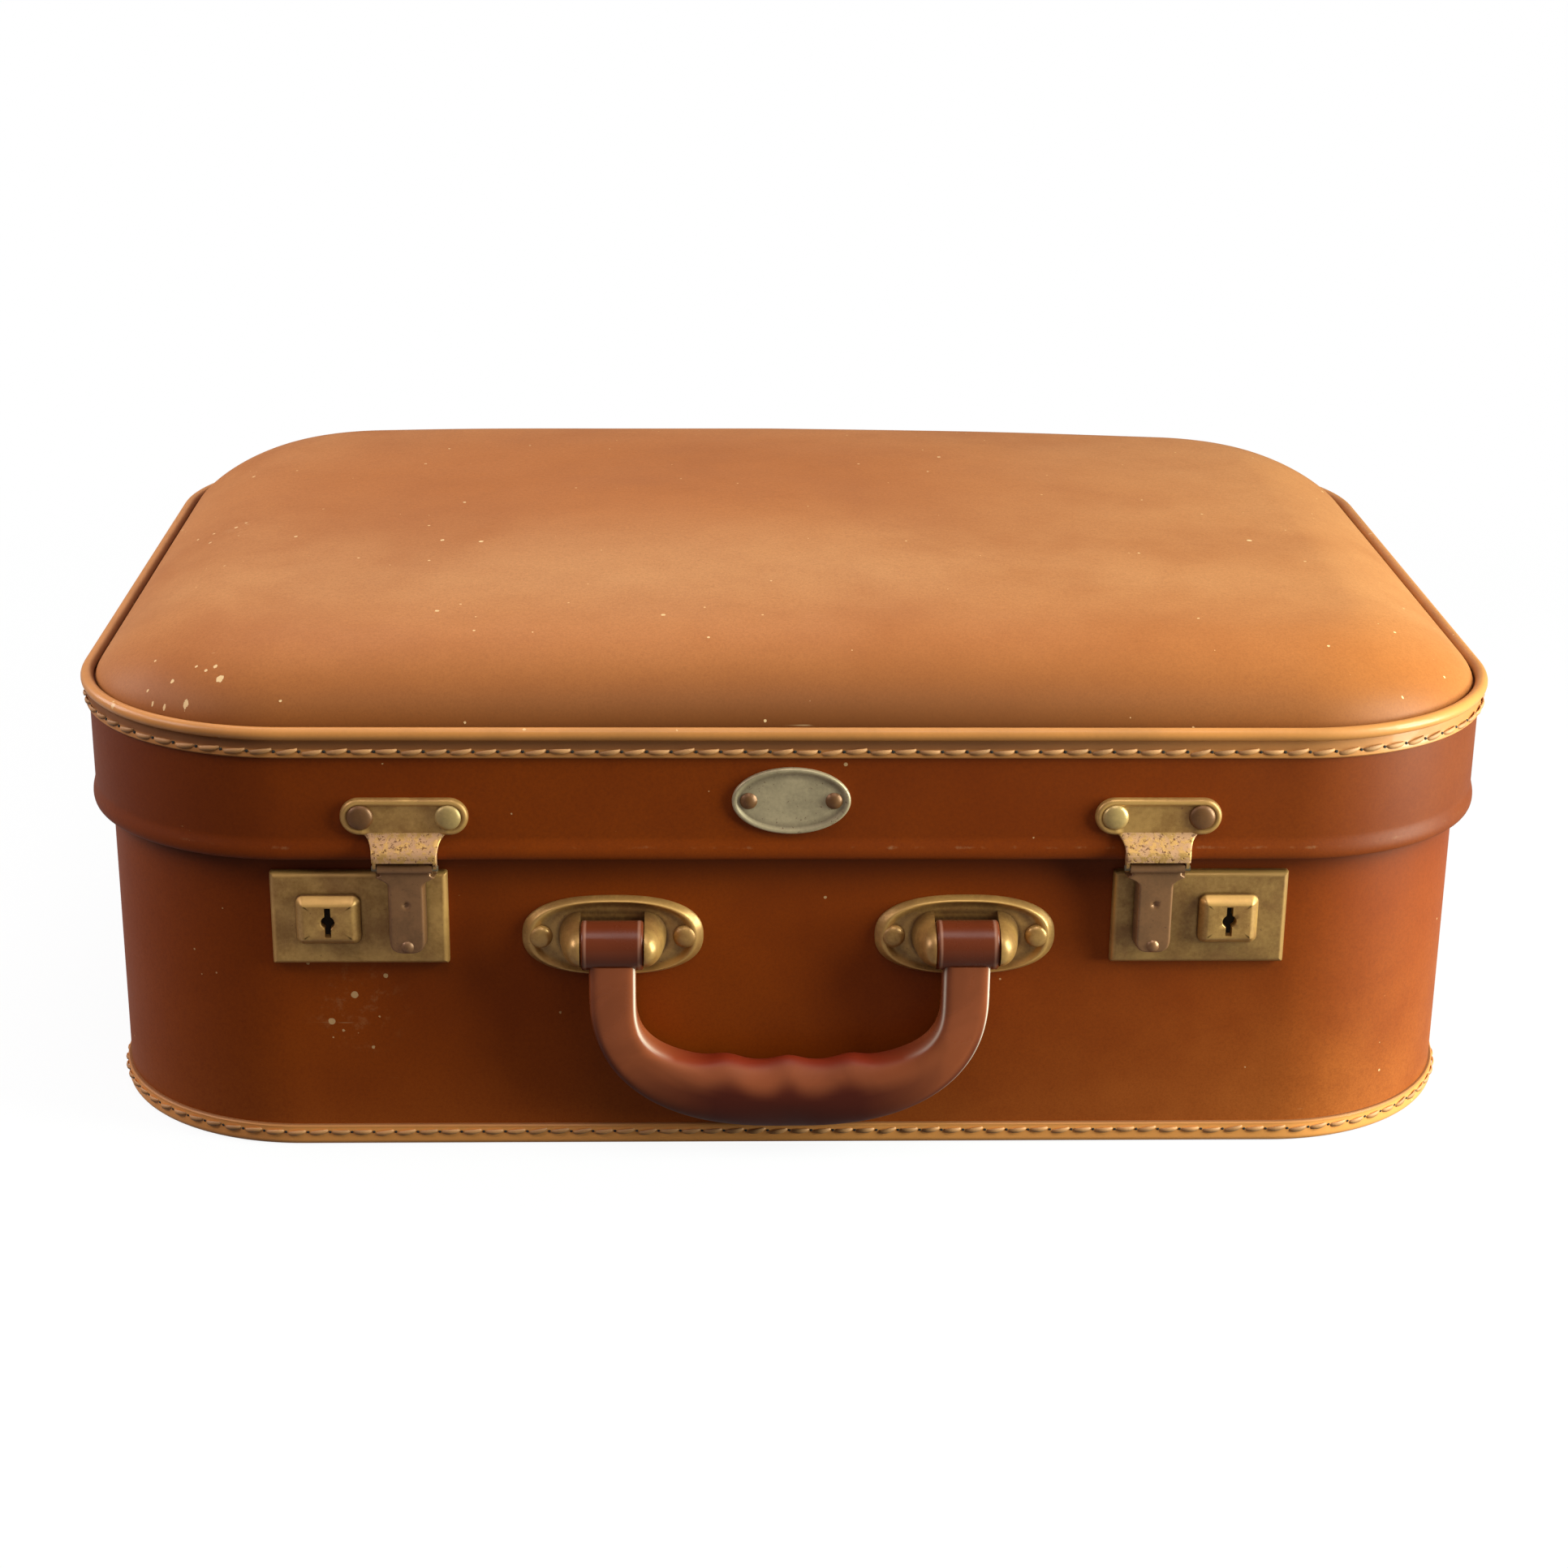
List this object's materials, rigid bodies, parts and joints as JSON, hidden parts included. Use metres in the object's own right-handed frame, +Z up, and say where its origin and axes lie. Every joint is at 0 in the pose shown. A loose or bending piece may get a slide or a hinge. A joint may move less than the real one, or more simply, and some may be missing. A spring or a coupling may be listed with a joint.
{
  "type": "suitcase",
  "caption": "Hard fibre suitcase with a crowned overlapping lid on rear hinges, sewn welts, hasp locks with sliding keyhole buttons and a moulded swing handle.",
  "frame": {"origin": "middle of the flat underside of the base, where the case rests on its bottom", "axes": "+X along the width to the right as seen from the front, -Y out of the front with the locks and handle, +Z up"},
  "size_m": [0.4446, 0.3486, 0.1675],
  "materials": {
    "fibre_wall": "red-brown lacquered vulcanised fibre, satin, rubbed and flecked",
    "fibre_panel": "tan-orange lacquered vulcanised fibre, satin, gently wavy",
    "welt": "lighter tan sewn binding with slanted stitches",
    "lining": "plain buff lining paper, matte",
    "brassed_steel": "brass-plated pressed steel, dull, worn and specked with rust",
    "coppered_steel": "brass plating worn to a coppery steel, satin",
    "pin_steel": "bare drawn steel",
    "handle_plastic": "red-brown moulded plastic, glossy",
    "badge_metal": "tarnished aluminium, satin"
  },
  "bodies": {
    "base": {"base_band": "fibre_wall", "base_panel": "fibre_wall", "base_welt": "welt", "base_lining": "lining", "handle_rivets": "brassed_steel", "hinge_base_rivets": "brassed_steel", "left_lock_plate": "brassed_steel", "left_slide_spring": "pin_steel", "left_lock_backplate": "pin_steel", "left_handle_bracket": "brassed_steel", "left_handle_pin": "pin_steel", "left_hinge_base_leaf": "brassed_steel", "left_hinge_pin": "pin_steel", "right_lock_plate": "brassed_steel", "right_slide_spring": "pin_steel", "right_lock_backplate": "pin_steel", "right_handle_bracket": "brassed_steel", "right_handle_pin": "pin_steel", "right_hinge_base_leaf": "brassed_steel", "right_hinge_pin": "pin_steel"},
    "lid": {"lid_band": "fibre_wall", "lid_panel": "fibre_panel", "lid_welt": "welt", "lid_lining": "lining", "hasp_plate_rivets": "brassed_steel", "hinge_lid_rivets": "brassed_steel", "badge": "badge_metal", "badge_rivets": "brassed_steel", "left_hasp_plate": "brassed_steel", "left_hasp_pin": "pin_steel", "left_hinge_lid_leaf": "brassed_steel", "right_hasp_plate": "brassed_steel", "right_hasp_pin": "pin_steel", "right_hinge_lid_leaf": "brassed_steel"},
    "handle": {"handle": "handle_plastic"},
    "left_slide": {"left_lock_slide": "brassed_steel"},
    "left_hasp": {"left_hasp": "coppered_steel", "left_hasp_stud": "coppered_steel"},
    "right_slide": {"right_lock_slide": "brassed_steel"},
    "right_hasp": {"right_hasp": "coppered_steel", "right_hasp_stud": "coppered_steel"}
  },
  "joints": [
    {"name": "lid_hinge", "type": "hinge", "parent": "base", "child": "lid", "pos_m": [0, 0.16945, 0.094], "axis": [-1, 0, 0], "range_deg": [0, 100]},
    {"name": "handle_swing", "type": "hinge", "parent": "base", "child": "handle", "pos_m": [-0.0009, -0.1682, 0.0708], "axis": [-1, 0, 0], "range_deg": [0, 150]},
    {"name": "left_button_slide", "type": "slide", "parent": "base", "child": "left_slide", "axis": [-1, 0, 0], "range_m": [0, 0.0055], "stiffness_N_per_m": 200, "springref_m": -0.004, "deforming": ["left_slide_spring"]},
    {"name": "left_hasp_swing", "type": "hinge", "parent": "lid", "child": "left_hasp", "pos_m": [-0.1164, -0.16855, 0.096], "axis": [-1, 0, 0], "range_deg": [0, 105]},
    {"name": "right_button_slide", "type": "slide", "parent": "base", "child": "right_slide", "axis": [1, 0, 0], "range_m": [0, 0.0055], "stiffness_N_per_m": 200, "springref_m": -0.004, "deforming": ["right_slide_spring"]},
    {"name": "right_hasp_swing", "type": "hinge", "parent": "lid", "child": "right_hasp", "pos_m": [0.1096, -0.16855, 0.096], "axis": [-1, 0, 0], "range_deg": [0, 105]}
  ]
}
